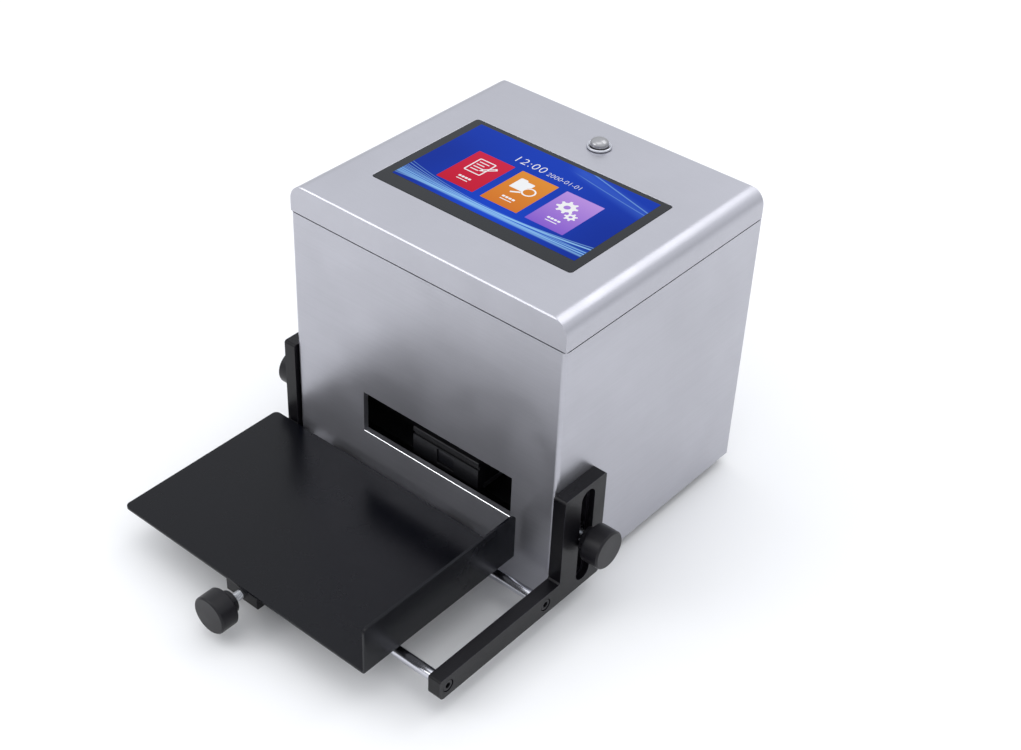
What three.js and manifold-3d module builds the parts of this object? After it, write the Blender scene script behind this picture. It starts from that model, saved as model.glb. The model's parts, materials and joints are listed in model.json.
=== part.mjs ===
import * as THREE from 'three';
import { mergeVertices } from 'three/addons/utils/BufferGeometryUtils.js';
import Module from 'manifold-3d';

// Desktop date code inkjet printer: a sheet metal case with a touch screen lid, a print
// window in the front wall, and a height adjustable product tray carried on two rods.
// Millimetres. +X is the machine's right hand side, +Y its back, +Z up.

const wasm = await Module();
wasm.setup();

// ---- driving dimensions ----
const GAP = 0.3;

const CASE_W = 230;
const CASE_D = 204.8;
const CASE_H = 199.1;
const SHEET = 2;
const CORNER_R = 3;

const LID_Z0 = 199.7;
const LID_Z1 = 220.8;
const LID_EDGE_R = 12;
const LID_BEVEL = 1.1;

const GLASS_W = 165.2;
const GLASS_D = 104.5;
const GLASS_T = 2;
const GLASS_R = 2.2;
const GLASS_Y = -7.55;

const BUTTON_X = 1.6;
const BUTTON_Y = 72.1;
const BUTTON_HOLE = 15.6;
const BUTTON_BARREL = 7.5;
const BUTTON_CAP_R = 6.4;

const WINDOW_X0 = -51.6;
const WINDOW_X1 = 79.4;
const WINDOW_Z0 = 50.9;
const WINDOW_Z1 = 83.7;
const WINDOW_RETURN = 4.2;

const FOOT_H = 8;
const FOOT_X = 92;
const FOOT_Y = 80;

const HINGE_X = 68;
const HINGE_Y = CASE_D / 2 + 3.6;
const HINGE_Z = 199.4;
const HINGE_LEN = 44;

const ARM_T = 9.7;
const ARM_X0 = CASE_W / 2 + GAP;
const ARM_Z0 = 5.6;
const ARM_Z1 = 22.1;
const ARM_FRONT = -219.5;
const UP_Y0 = -105;
const UP_Y1 = -63.5;
const UP_Z1 = 91.5;
const SLOT_Y = -81.5;
const SLOT_Z0 = 11;
const SLOT_Z1 = 87.6;
const SLOT_W = 13.5;
const SLOT_W_IN = 9;
const SLOT_STEP = 4.4;

const ROD_R = 4;
const ROD_Z = 14;
const ROD_Y = [-212, -118.8];

const TRAY_X0 = -136;
const TRAY_X1 = 87.5;
const TRAY_Y0 = -245.5;
const TRAY_Y1 = -106.5;
const TRAY_Z0 = 22.5;
const TRAY_T = 2;
const FENCE_TOP = 60.5;
const TRAY_MID = (TRAY_X0 + TRAY_X1) / 2;

const KNOB_R = 13.6;
const KNOB_L = 13.9;
const HUB_R = 8;
const HUB_L = 5.6;
const STUD_R = 3;
const SIDE_KNOB_Z = 47.8;
const FRONT_KNOB_X = -25.4;
const FRONT_BLOCK_Y0 = -242.5;

const HEAD_X = 13.5;
const HEAD_W = 55;
const NOSE_W = 58;
const RAIL_Y = -45;
const RAIL_LEN = 200;
const BEAM_TOP = 27;
const PULLEY_R = 6.37;
const BELT_T = 1.4;
const BELT_Y = 4;
const BELT_W = 6;
const PULLEY_Z = 52;
const MOTOR_X = -90;
const IDLER_X = 95;

// ---- materials ----
const COLOURS = {
  housing_silver: [0xb9b9c4, 0.42, 0.55],
  black_coated: [0x26272b, 0.5, 0.35],
  black_anodised: [0x2c2d31, 0.45, 0.6],
  black_plastic: [0x1e1f22, 0.55, 0],
  knob_plastic: [0x2a2b2f, 0.5, 0],
  rubber_black: [0x151516, 0.85, 0],
  chrome_steel: [0xd6d8db, 0.14, 1],
  steel_bright: [0xb4b7ba, 0.3, 1],
  zinc_steel: [0x9a9da0, 0.4, 0.9],
  dark_steel: [0x303236, 0.4, 0.8],
  aluminium_plain: [0xb0b2b5, 0.42, 0.9],
  glass_dark: [0x2a2e33, 0.12, 0],
  panel_grey: [0x54575b, 0.5, 0.2],
  board_green: [0x17583a, 0.55, 0],
  ink_blue: [0x2b3f66, 0.45, 0],
  latch_grey: [0x7d8288, 0.5, 0],
};

function material(slot) {
  const [colour, roughness, metalness] = COLOURS[slot];
  return new THREE.MeshStandardMaterial({ color: colour, roughness, metalness, name: slot });
}

// ---- solids ----
function solid(geometry, matrix) {
  const g = geometry.clone();
  if (matrix) g.applyMatrix4(matrix);
  g.deleteAttribute('normal');
  g.deleteAttribute('uv');
  const merged = mergeVertices(g, 1e-4);
  const index = merged.index.array;
  const kept = [];
  for (let i = 0; i < index.length; i += 3) {
    const [a, b, c] = [index[i], index[i + 1], index[i + 2]];
    if (a !== b && b !== c && c !== a) kept.push(a, b, c);
  }
  return new wasm.Manifold(new wasm.Mesh({
    numProp: 3,
    vertProperties: new Float32Array(merged.attributes.position.array),
    triVerts: new Uint32Array(kept),
  }));
}

function toGeometry(manifold) {
  const m = manifold.getMesh();
  const g = new THREE.BufferGeometry();
  g.setAttribute('position', new THREE.BufferAttribute(new Float32Array(m.vertProperties), 3));
  g.setIndex(new THREE.BufferAttribute(new Uint32Array(m.triVerts), 1));
  g.computeVertexNormals();
  return g;
}

function move(x, y, z) {
  return new THREE.Matrix4().makeTranslation(x, y, z);
}

function box(x0, x1, y0, y1, z0, z1) {
  const g = new THREE.BoxGeometry(x1 - x0, y1 - y0, z1 - z0);
  return solid(g, move((x0 + x1) / 2, (y0 + y1) / 2, (z0 + z1) / 2));
}

// turns a shape drawn in the XY plane so that it is extruded along the given axis
function alongAxis(axis) {
  const m = new THREE.Matrix4();
  if (axis === 'x') m.makeBasis(new THREE.Vector3(0, 1, 0), new THREE.Vector3(0, 0, 1), new THREE.Vector3(1, 0, 0));
  if (axis === 'y') m.makeBasis(new THREE.Vector3(0, 0, 1), new THREE.Vector3(1, 0, 0), new THREE.Vector3(0, 1, 0));
  return m;
}

// extrudes a shape from a to b along the axis; for x the shape is (y, z), for y it is (z, x);
// segments is the number of facets for each arc of the shape
function extrude(shape, axis, a, b, segments = 8) {
  const curveSegments = Math.max(1, Math.round(segments / 2));
  const g = new THREE.ExtrudeGeometry(shape, { depth: b - a, bevelEnabled: false, curveSegments });
  g.translate(0, 0, a);
  return solid(g, alongAxis(axis));
}

function rounded(u0, u1, v0, v1, r) {
  const radii = Array.isArray(r) ? r : [r, r, r, r];
  const s = new THREE.Shape();
  const [r00, r10, r11, r01] = radii;
  s.moveTo(u0 + r00, v0);
  s.lineTo(u1 - r10, v0);
  if (r10 > 0) s.absarc(u1 - r10, v0 + r10, r10, -Math.PI / 2, 0, false);
  s.lineTo(u1, v1 - r11);
  if (r11 > 0) s.absarc(u1 - r11, v1 - r11, r11, 0, Math.PI / 2, false);
  s.lineTo(u0 + r01, v1);
  if (r01 > 0) s.absarc(u0 + r01, v1 - r01, r01, Math.PI / 2, Math.PI, false);
  s.lineTo(u0, v0 + r00);
  if (r00 > 0) s.absarc(u0 + r00, v0 + r00, r00, Math.PI, 1.5 * Math.PI, false);
  return s;
}

function polygon(points) {
  return new THREE.Shape(points.map(([u, v]) => new THREE.Vector2(u, v)));
}

// a turned body: profile of [radius, height] pairs that starts and ends on the axis
function turned(profile, segments = 40) {
  const pts = profile.map(([r, h]) => new THREE.Vector2(r, h));
  const g = new THREE.LatheGeometry(pts, segments);
  g.rotateX(Math.PI / 2);
  return solid(g);
}

function rod(r, axis, a, b, u = 0, v = 0, segments = 32) {
  const s = new THREE.Shape();
  s.absarc(u, v, r, 0, 2 * Math.PI, false);
  return extrude(s, axis, a, b, segments);
}

function placed(manifold, matrix) {
  const g = toGeometry(manifold);
  g.applyMatrix4(matrix);
  return solid(g);
}

const X_AXIS = new THREE.Matrix4().makeRotationY(Math.PI / 2);
const MINUS_X_AXIS = new THREE.Matrix4().makeRotationY(-Math.PI / 2);
const MINUS_Y_AXIS = new THREE.Matrix4().makeRotationX(Math.PI / 2);
const Y_AXIS = new THREE.Matrix4().makeRotationX(-Math.PI / 2);

function at(x, y, z, turn) {
  const m = move(x, y, z);
  return turn ? m.multiply(turn) : m;
}

const group = new THREE.Group();
group.name = 'date_code_inkjet_printer';

function piece(parent, name, slot, manifold, matrix) {
  const mesh = new THREE.Mesh(toGeometry(manifold), material(slot));
  mesh.name = name;
  if (matrix) {
    matrix.decompose(mesh.position, mesh.quaternion, mesh.scale);
  }
  parent.add(mesh);
  return mesh;
}

function section(name) {
  const g = new THREE.Group();
  g.name = name;
  group.add(g);
  return g;
}

// ---- case ----
function caseBody() {
  const g = section('case');
  const hw = CASE_W / 2;
  const hd = CASE_D / 2;
  // front wall and both side walls folded from one sheet, with return flanges at the rear
  const outer = rounded(-hw, hw, -hd, hd, [CORNER_R, CORNER_R, 0.4, 0.4]);
  const inner = rounded(-hw + SHEET, hw - SHEET, -hd + SHEET, hd + 5, [1, 1, 0, 0]);
  let shell = extrude(outer, 'z', 0, CASE_H, 6);
  shell = shell.subtract(extrude(inner, 'z', -1, CASE_H + 1, 6));
  for (const side of [-1, 1]) {
    const x = side * (hw - SHEET);
    const flange = box(Math.min(x, x - side * 10), Math.max(x, x - side * 10), 97.6, 99.6, 4, CASE_H - 4);
    shell = shell.add(flange);
    shell = shell.subtract(rod(4.8, 'x', side * hw - 6, side * hw + 6, SLOT_Y, SIDE_KNOB_Z, 20));
  }
  // the window's edges are folded inwards all round
  const back = -hd + WINDOW_RETURN;
  const t = SHEET;
  shell = shell.add(box(WINDOW_X0 - t, WINDOW_X1 + t, -hd + 0.5, back, WINDOW_Z0 - t, WINDOW_Z1 + t));
  shell = shell.subtract(box(WINDOW_X0, WINDOW_X1, -hd - 2, back + 2, WINDOW_Z0, WINDOW_Z1));
  piece(g, 'body_shell', 'housing_silver', shell);

  // folded base with upturned edges, vent slots and pressed stand-offs for the boards
  let base = extrude(rounded(-112.6, 112.6, -100, 97.2, 1), 'z', 0, SHEET, 4);
  for (const side of [-1, 1]) {
    base = base.add(box(Math.min(side * 112.6, side * 110.6), Math.max(side * 112.6, side * 110.6), -96, 90, 0, 14));
  }
  for (const [x, y] of [[-52, 32], [88, 32], [-52, 84], [88, 84], [-102, 62], [-68, 62], [-102, 90], [-68, 90]]) {
    base = base.add(rod(3, 'z', 1, 9.7, x, y, 8));
  }
  for (let i = 0; i < 7; i += 1) {
    base = base.subtract(extrude(rounded(-30 + i * 10 - 2, -30 + i * 10 + 2, 36, 76, 1.9), 'z', -1, 4, 2));
  }
  piece(g, 'base_plate', 'zinc_steel', base);

  // rear wall with sockets, vent slots and fan grille
  let rear = box(-112.6, 112.6, hd - SHEET, hd, 0.3, CASE_H);
  rear = rear.subtract(rod(19, 'y', hd - 4, hd + 2, 140, 60, 36));
  rear = rear.add(rod(7, 'y', hd - SHEET, hd, 140, 60, 32));
  for (const a of [0, 1]) {
    const bar = a === 0 ? box(40, 80, hd - SHEET, hd, 138.6, 141.4) : box(58.6, 61.4, hd - SHEET, hd, 120, 160);
    rear = rear.add(bar);
  }
  for (let i = 0; i < 9; i += 1) {
    const x = -92 + i * 9;
    rear = rear.subtract(extrude(rounded(118, 162, x - 1.8, x + 1.8, 1.7), 'y', hd - 4, hd + 2, 2));
  }
  rear = rear.subtract(rod(6.3, 'y', hd - 4, hd + 2, 32, -86, 32));
  rear = rear.subtract(box(-47, -33, hd - 4, hd + 2, 28.6, 35.4));
  rear = rear.subtract(rod(8.3, 'y', hd - 4, hd + 2, 32, 6, 32));
  piece(g, 'rear_panel', 'housing_silver', rear);

  const foot = turned([[0, -FOOT_H], [8.5, -FOOT_H], [9.5, -FOOT_H + 1], [10.5, -GAP], [0, -GAP]], 24);
  for (const [name, x, y] of [
    ['foot_front_left', -FOOT_X, -FOOT_Y], ['foot_front_right', FOOT_X, -FOOT_Y],
    ['foot_rear_left', -FOOT_X, FOOT_Y], ['foot_rear_right', FOOT_X, FOOT_Y],
  ]) {
    piece(g, name, 'rubber_black', foot, at(x, y, 0));
  }

  // threaded guide nuts: a key that runs in the bracket slot and a sleeve through the wall
  for (const side of [-1, 1]) {
    const name = side < 0 ? 'guide_nut_left' : 'guide_nut_right';
    let nut = extrude(rounded(-SLOT_W_IN / 2 + GAP, SLOT_W_IN / 2 - GAP, -10, 10, 4.1), 'x', GAP, 4.9, 6);
    nut = nut.add(rod(4.5, 'x', -8, 1, 0, 0, 24));
    nut = nut.subtract(rod(STUD_R + GAP, 'x', -9, 6, 0, 0, 20));
    const turn = side < 0 ? new THREE.Matrix4().makeRotationZ(Math.PI) : null;
    piece(g, name, 'steel_bright', nut, at(side * hw, SLOT_Y, SIDE_KNOB_Z, turn));
  }
}

// ---- rear sockets and electronics ----
function electronics() {
  const g = section('electronics');
  const hd = CASE_D / 2;
  let jack = rod(6, 'y', hd - 12, hd + 0.6, 32, -86, 20);
  jack = jack.add(rod(8.6, 'y', hd + GAP, hd + 2, 32, -86, 24));
  jack = jack.subtract(rod(3.4, 'y', hd - 9, hd + 3, 32, -86, 16));
  jack = jack.add(rod(1, 'y', hd - 10, hd + 0.2, 32, -86, 8));
  piece(g, 'power_jack', 'black_plastic', jack);

  let usb = box(-46.7, -33.3, hd - 14, hd + 0.8, 28.9, 35.1);
  usb = usb.subtract(box(-45.9, -34.1, hd - 11, hd + 2, 29.7, 34.3));
  usb = usb.add(box(-45, -35, hd - 12, hd - 1, 32.3, 33.9));
  piece(g, 'usb_port', 'steel_bright', usb);

  let socket = rod(8, 'y', hd - 12, hd + 0.5, 32, 6, 24);
  socket = socket.add(rod(10.5, 'y', hd + GAP, hd + 2.2, 32, 6, 28));
  socket = socket.subtract(rod(5.6, 'y', hd - 7, hd + 3, 32, 6, 20));
  for (let i = 0; i < 4; i += 1) {
    const a = Math.PI / 4 + i * Math.PI / 2;
    socket = socket.add(rod(0.7, 'y', hd - 8, hd - 0.5, 32 + 3 * Math.sin(a), 6 + 3 * Math.cos(a), 8));
  }
  piece(g, 'foot_switch_socket', 'chrome_steel', socket);

  let main = box(-58, 94, 26, 90, 10, 11.6);
  for (const [x0, x1, y0, y1, h] of [
    [-10, 14, 50, 74, 2.4], [30, 42, 60, 76, 2], [-48, -30, 40, 52, 9], [50, 58, 30, 38, 14],
    [62, 70, 30, 38, 14], [20, 46, 30, 37, 8], [-50, -42, 62, 76, 6], [60, 84, 56, 80, 3],
    [-6, 12, 30, 37, 8],
  ]) {
    main = main.add(box(x0, x1, y0, y1, 11.4, 11.6 + h));
  }
  piece(g, 'control_board', 'board_green', main);

  let power = box(-108, -62, 56, 96, 10, 11.6);
  power = power.add(rod(9, 'z', 11.4, 26, -76, 78, 28));
  power = power.add(box(-104, -90, 62, 76, 11.4, 24));
  power = power.add(box(-104, -94, 82, 90, 11.4, 17));
  piece(g, 'power_board', 'board_green', power);

  // axial fan behind the grille
  let frame = extrude(rounded(120, 160, 40, 80, 3), 'y', 89.9, 99.9, 4);
  frame = frame.subtract(rod(18.6, 'y', 88, 101, 140, 60, 32));
  frame = frame.add(rod(8, 'y', 98.2, 99.9, 140, 60, 16));
  for (let i = 0; i < 3; i += 1) {
    const a = i * 2 * Math.PI / 3;
    const strut = box(0, 20, 98.2, 99.9, -1.4, 1.4);
    frame = frame.add(placed(strut, at(60, 0, 140, new THREE.Matrix4().makeRotationY(a))));
  }
  piece(g, 'fan_frame', 'black_plastic', frame);

  let fan = rod(8, 'y', 90.4, 97.7, 0, 0, 16);
  for (let i = 0; i < 7; i += 1) {
    const a = i * 2 * Math.PI / 7;
    const blade = placed(box(6, 17.4, -3, 3, -0.6, 0.6), new THREE.Matrix4().makeRotationX(0.62));
    const turn = new THREE.Matrix4().makeTranslation(0, 94, 0).multiply(new THREE.Matrix4().makeRotationY(a));
    fan = fan.add(placed(blade, turn));
  }
  piece(g, 'fan_rotor', 'black_plastic', fan, at(60, 0, 140));
}

// ---- lid with screen and power button ----
function lid() {
  const g = section('lid');
  const hw = CASE_W / 2;
  const hd = CASE_D / 2;
  // (z, x) outline of the hood: rounded along the left and right upper edges
  const outline = rounded(LID_Z0, LID_Z1, -hw, hw, [0.4, LID_EDGE_R, LID_EDGE_R, 0.4]);
  const hollow = rounded(LID_Z0 - 5, LID_Z1 - SHEET, -hw + SHEET, hw - SHEET, [0, LID_EDGE_R - SHEET, LID_EDGE_R - SHEET, 0]);
  const side = polygon([
    [-hd, LID_Z0 - 1], [hd, LID_Z0 - 1], [hd, LID_Z1 - LID_BEVEL], [hd - LID_BEVEL, LID_Z1 + 0.001],
    [-hd + LID_BEVEL, LID_Z1 + 0.001], [-hd, LID_Z1 - LID_BEVEL],
  ]);
  let cover = extrude(outline, 'y', -hd, hd, 10).intersect(extrude(side, 'x', -hw - 1, hw + 1));
  cover = cover.subtract(extrude(hollow, 'y', -hd + SHEET, hd - SHEET, 10));
  const gw = GLASS_W / 2 + GAP;
  const gd = GLASS_D / 2 + GAP;
  cover = cover.subtract(extrude(rounded(-gw, gw, GLASS_Y - gd, GLASS_Y + gd, GLASS_R + GAP), 'z', 210, 230, 8));
  cover = cover.subtract(rod(BUTTON_HOLE / 2, 'z', 210, 230, BUTTON_X, BUTTON_Y, 40));
  piece(g, 'lid_cover', 'housing_silver', cover);

  const half = GLASS_W / 2;
  const glass = extrude(rounded(-half, half, -GLASS_D / 2, GLASS_D / 2, GLASS_R), 'z', -GLASS_T, 0, 8);
  piece(g, 'touch_glass', 'glass_dark', glass, at(0, GLASS_Y, LID_Z1 + 0.05));

  // mounting frame under the opening; the screen module hangs inside it
  const zTop = LID_Z1 - SHEET - GAP;
  let frame = extrude(rounded(-94, 94, GLASS_Y - 60, GLASS_Y + 60, 2), 'z', zTop - 2, zTop, 4);
  frame = frame.add(box(-94, -91, GLASS_Y - 60, GLASS_Y + 60, zTop - 9, zTop));
  frame = frame.add(box(91, 94, GLASS_Y - 60, GLASS_Y + 60, zTop - 9, zTop));
  frame = frame.subtract(box(-80.4, 80.4, GLASS_Y - 50.4, GLASS_Y + 50.4, zTop - 12, zTop + 1));
  piece(g, 'screen_frame', 'zinc_steel', frame);

  const screenTop = LID_Z1 - GLASS_T - GAP;
  let screen = box(-80, 80, GLASS_Y - 50, GLASS_Y + 50, screenTop - 6, screenTop);
  screen = screen.add(box(-70, 30, GLASS_Y - 40, GLASS_Y + 36, screenTop - 7.6, screenTop - 5));
  screen = screen.add(box(36, 62, GLASS_Y - 20, GLASS_Y + 20, screenTop - 9, screenTop - 5));
  piece(g, 'screen_module', 'panel_grey', screen);

  let bezel = turned([
    [0, -14], [BUTTON_BARREL, -14], [BUTTON_BARREL, GAP], [8.5, GAP], [8.8, 0.8], [8.4, 1.7], [7.9, 1.9],
    [7.2, 1.2], [0, 1.2],
  ], 36);
  bezel = bezel.subtract(rod(BUTTON_CAP_R + GAP, 'z', -10, 5, 0, 0, 36));
  piece(g, 'button_bezel', 'chrome_steel', bezel, at(BUTTON_X, BUTTON_Y, LID_Z1));

  const cap = turned([
    [0, -7.6], [BUTTON_CAP_R, -7.6], [BUTTON_CAP_R, 3], [6.1, 4.2], [5.2, 5.2], [3.6, 5.9], [1.8, 6.2], [0, 6.3],
  ], 32);
  piece(g, 'button_cap', 'steel_bright', cap, at(BUTTON_X, BUTTON_Y, LID_Z1));

  let nut = extrude(polygon([0, 1, 2, 3, 4, 5].map((i) => [11 * Math.cos(i * Math.PI / 3), 11 * Math.sin(i * Math.PI / 3)])), 'z', -3, 0);
  nut = nut.subtract(rod(BUTTON_BARREL + GAP, 'z', -5, 2, 0, 0, 32));
  piece(g, 'button_nut', 'steel_bright', nut, at(BUTTON_X, BUTTON_Y, LID_Z1 - SHEET - GAP));
}

// ---- two butt hinges on the rear edge ----
function hinges() {
  const g = section('hinges');
  const hd = CASE_D / 2;
  const faceY = hd + GAP;
  const knuckle = 3.2;
  for (const [tag, x] of [['left', -HINGE_X], ['right', HINGE_X]]) {
    const x0 = x - HINGE_LEN / 2;
    const x1 = x + HINGE_LEN / 2;
    const a = x0 + HINGE_LEN * 0.28;
    const b = x1 - HINGE_LEN * 0.28;
    const clear = rod(knuckle + 0.5, 'x', x0 - 1, x1 + 1, HINGE_Y, HINGE_Z, 20);

    let fixed = box(x0, x1, faceY, faceY + 1.5, HINGE_Z - 20, HINGE_Z - 0.6);
    fixed = fixed.subtract(clear.intersect(box(x0 - 1, a + 0.2, 90, 120, 150, 250)));
    fixed = fixed.subtract(clear.intersect(box(b - 0.2, x1 + 1, 90, 120, 150, 250)));
    fixed = fixed.add(rod(knuckle, 'x', a + 0.2, b - 0.2, HINGE_Y, HINGE_Z, 20));
    fixed = fixed.subtract(rod(1.8, 'x', x0 - 2, x1 + 2, HINGE_Y, HINGE_Z, 14));
    piece(g, `hinge_leaf_fixed_${tag}`, 'steel_bright', fixed);

    let moving = box(x0, x1, faceY, faceY + 1.5, HINGE_Z + 0.6, HINGE_Z + 17);
    moving = moving.subtract(clear.intersect(box(a - 0.2, b + 0.2, 90, 120, 150, 250)));
    moving = moving.add(rod(knuckle, 'x', x0, a - 0.2, HINGE_Y, HINGE_Z, 20));
    moving = moving.add(rod(knuckle, 'x', b + 0.2, x1, HINGE_Y, HINGE_Z, 20));
    moving = moving.subtract(rod(1.8, 'x', x0 - 2, x1 + 2, HINGE_Y, HINGE_Z, 14));
    piece(g, `hinge_leaf_lid_${tag}`, 'steel_bright', moving);

    const pin = rod(1.5, 'x', x0 - 0.6, x1 + 0.6, HINGE_Y, HINGE_Z, 14);
    piece(g, `hinge_pin_${tag}`, 'chrome_steel', pin);
  }
}

// ---- clamping knobs with moulded-in studs ----
function knob(studLength, studTip) {
  // axis is +Z, z = 0 at the hub's bearing face
  return turned([
    [0, -studLength], [studTip, -studLength], [STUD_R, -studLength + 1], [STUD_R, 0], [HUB_R - 0.6, 0],
    [HUB_R, 0.6], [HUB_R, HUB_L], [KNOB_R - 0.8, HUB_L], [KNOB_R, HUB_L + 0.8],
    [KNOB_R, HUB_L + KNOB_L - 1], [KNOB_R - 1, HUB_L + KNOB_L], [0, HUB_L + KNOB_L],
  ], 36);
}

// ---- L brackets, rods, product tray ----
function trayFrame() {
  const g = section('tray_frame');
  for (const side of [-1, 1]) {
    const tag = side < 0 ? 'left' : 'right';
    const inner = side * ARM_X0;
    const outer = side * (ARM_X0 + ARM_T);
    const x0 = Math.min(inner, outer);
    const x1 = Math.max(inner, outer);
    const s = new THREE.Shape();
    s.moveTo(ARM_FRONT + 4, ARM_Z0);
    s.lineTo(UP_Y1 - 2, ARM_Z0);
    s.absarc(UP_Y1 - 2, ARM_Z0 + 2, 2, -Math.PI / 2, 0, false);
    s.lineTo(UP_Y1, UP_Z1 - 2);
    s.absarc(UP_Y1 - 2, UP_Z1 - 2, 2, 0, Math.PI / 2, false);
    s.lineTo(UP_Y0 + 2, UP_Z1);
    s.absarc(UP_Y0 + 2, UP_Z1 - 2, 2, Math.PI / 2, Math.PI, false);
    s.lineTo(UP_Y0, ARM_Z1 + 1);
    s.lineTo(UP_Y0 - 1, ARM_Z1);
    s.lineTo(ARM_FRONT + 1.5, ARM_Z1);
    s.absarc(ARM_FRONT + 1.5, ARM_Z1 - 1.5, 1.5, Math.PI / 2, Math.PI, false);
    s.lineTo(ARM_FRONT, ARM_Z0 + 4);
    s.absarc(ARM_FRONT + 4, ARM_Z0 + 4, 4, Math.PI, 1.5 * Math.PI, false);
    let bracket = extrude(s, 'x', x0, x1, 5);
    const wide = rounded(SLOT_Y - SLOT_W / 2, SLOT_Y + SLOT_W / 2, SLOT_Z0, SLOT_Z1, SLOT_W / 2 - 0.01);
    const step = (SLOT_W - SLOT_W_IN) / 2;
    const thin = rounded(SLOT_Y - SLOT_W_IN / 2, SLOT_Y + SLOT_W_IN / 2, SLOT_Z0 + step, SLOT_Z1 - step, SLOT_W_IN / 2 - 0.01);
    bracket = bracket.subtract(extrude(thin, 'x', x0 - 1, x1 + 1, 10));
    const wideFrom = side < 0 ? x0 - 1 : x1 - SLOT_STEP;
    const wideTo = side < 0 ? x0 + SLOT_STEP : x1 + 1;
    bracket = bracket.subtract(extrude(wide, 'x', wideFrom, wideTo, 10));
    for (const y of ROD_Y) {
      bracket = bracket.subtract(rod(2.8, 'x', x0 - 1, x1 + 1, y, ROD_Z, 14));
      const from = side < 0 ? x0 - 1 : x1 - 4.4;
      const to = side < 0 ? x0 + 4.4 : x1 + 1;
      bracket = bracket.subtract(rod(4.6, 'x', from, to, y, ROD_Z, 24));
    }
    piece(g, `bracket_${tag}`, 'black_anodised', bracket);
  }

  ROD_Y.forEach((y, i) => {
    const end = ARM_X0 - GAP;
    let bar = rod(ROD_R, 'x', -end, end, 0, 0, 28);
    for (const side of [-1, 1]) {
      bar = bar.subtract(rod(2.8, 'x', Math.min(side * end, side * (end - 14)) - (side < 0 ? 1 : 0),
        Math.max(side * end, side * (end - 14)) + (side < 0 ? 0 : 1), 0, 0, 20));
    }
    const tag = i === 0 ? 'front' : 'rear';
    piece(g, `rod_${tag}`, 'chrome_steel', bar, at(0, y, ROD_Z));
    for (const side of [-1, 1]) {
      let screw = turned([[0, -18], [2.2, -18], [2.5, -17.6], [2.5, 0], [4.2, 0], [4.2, 3.4], [3.8, 3.8], [0, 3.8]], 20);
      const hex = polygon([0, 1, 2, 3, 4, 5].map((k) => [2.3 * Math.cos(k * Math.PI / 3), 2.3 * Math.sin(k * Math.PI / 3)]));
      screw = screw.subtract(extrude(hex, 'z', 1.4, 5));
      const name = `rod_screw_${tag}_${side < 0 ? 'left' : 'right'}`;
      const x = side * (ARM_X0 + ARM_T - 4.1);
      piece(g, name, 'dark_steel', screw, at(x, y, ROD_Z, side < 0 ? MINUS_X_AXIS : X_AXIS));
    }
  });
}

function tray() {
  const g = section('tray');
  const z0 = TRAY_Z0;
  const z1 = TRAY_Z0 + TRAY_T;
  let plate = extrude(rounded(TRAY_X0, TRAY_X1 - 3, TRAY_Y0, TRAY_Y1, [4, 0, 0, 4]), 'z', z0, z1, 6);
  // the fence is folded up from the plate with a small inside radius
  const fold = new THREE.Shape();
  fold.moveTo(z0, TRAY_X1 - 3.5);
  fold.lineTo(z0, TRAY_X1 - 2.6);
  fold.absarc(z0 + 2.6, TRAY_X1 - 2.6, 2.6, Math.PI, Math.PI / 2, true);
  fold.lineTo(FENCE_TOP, TRAY_X1);
  fold.lineTo(FENCE_TOP, TRAY_X1 - TRAY_T);
  fold.lineTo(z1 + 0.6, TRAY_X1 - TRAY_T);
  fold.absarc(z1 + 0.6, TRAY_X1 - TRAY_T - 0.6, 0.6, Math.PI / 2, Math.PI, false);
  fold.lineTo(z1, TRAY_X1 - 3.5);
  let fence = extrude(fold, 'y', TRAY_Y0, TRAY_Y1, 6);
  const corners = rounded(TRAY_Y0, TRAY_Y1, z0 - 5, FENCE_TOP, [0, 0, 4, 4]);
  fence = fence.intersect(extrude(corners, 'x', TRAY_X1 - 10, TRAY_X1 + 1, 6));
  plate = plate.add(fence);
  piece(g, 'tray_plate', 'black_coated', plate);

  const blockTop = TRAY_Z0 - GAP;
  const bore = ROD_R + GAP;
  const [yFront, yRear] = ROD_Y;
  let front = extrude(rounded(FRONT_BLOCK_Y0, yFront + 8, 8, blockTop, [1.5, 1.5, 0, 0]), 'x',
    FRONT_KNOB_X - 14, FRONT_KNOB_X + 14, 4);
  front = front.subtract(rod(bore, 'x', FRONT_KNOB_X - 15, FRONT_KNOB_X + 15, yFront, ROD_Z, 24));
  front = front.subtract(rod(STUD_R + GAP, 'y', FRONT_BLOCK_Y0 - 1, yFront, ROD_Z, FRONT_KNOB_X, 16));
  piece(g, 'slide_block_front', 'black_anodised', front);

  for (const [tag, x] of [['left', TRAY_MID - 55], ['right', TRAY_MID + 55]]) {
    let block = extrude(rounded(yRear - 9, yRear + 9, 8, blockTop, [1.5, 1.5, 0, 0]), 'x', x - 11, x + 11, 4);
    block = block.subtract(rod(bore, 'x', x - 12, x + 12, yRear, ROD_Z, 24));
    piece(g, `slide_block_rear_${tag}`, 'black_anodised', block);
  }
}

function knobs() {
  const g = section('knobs');
  const sideKnob = knob(15, 2.4);
  const x = ARM_X0 + ARM_T + GAP;
  piece(g, 'knob_right', 'knob_plastic', sideKnob, at(x, SLOT_Y, SIDE_KNOB_Z, X_AXIS));
  piece(g, 'knob_left', 'knob_plastic', sideKnob, at(-x, SLOT_Y, SIDE_KNOB_Z, MINUS_X_AXIS));
  const y = -251.3;
  const reach = Math.abs(y) - Math.abs(ROD_Y[0]) - ROD_R - GAP;
  piece(g, 'knob_front', 'knob_plastic', knob(reach, 2.4), at(FRONT_KNOB_X, y, ROD_Z, MINUS_Y_AXIS));
}

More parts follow.
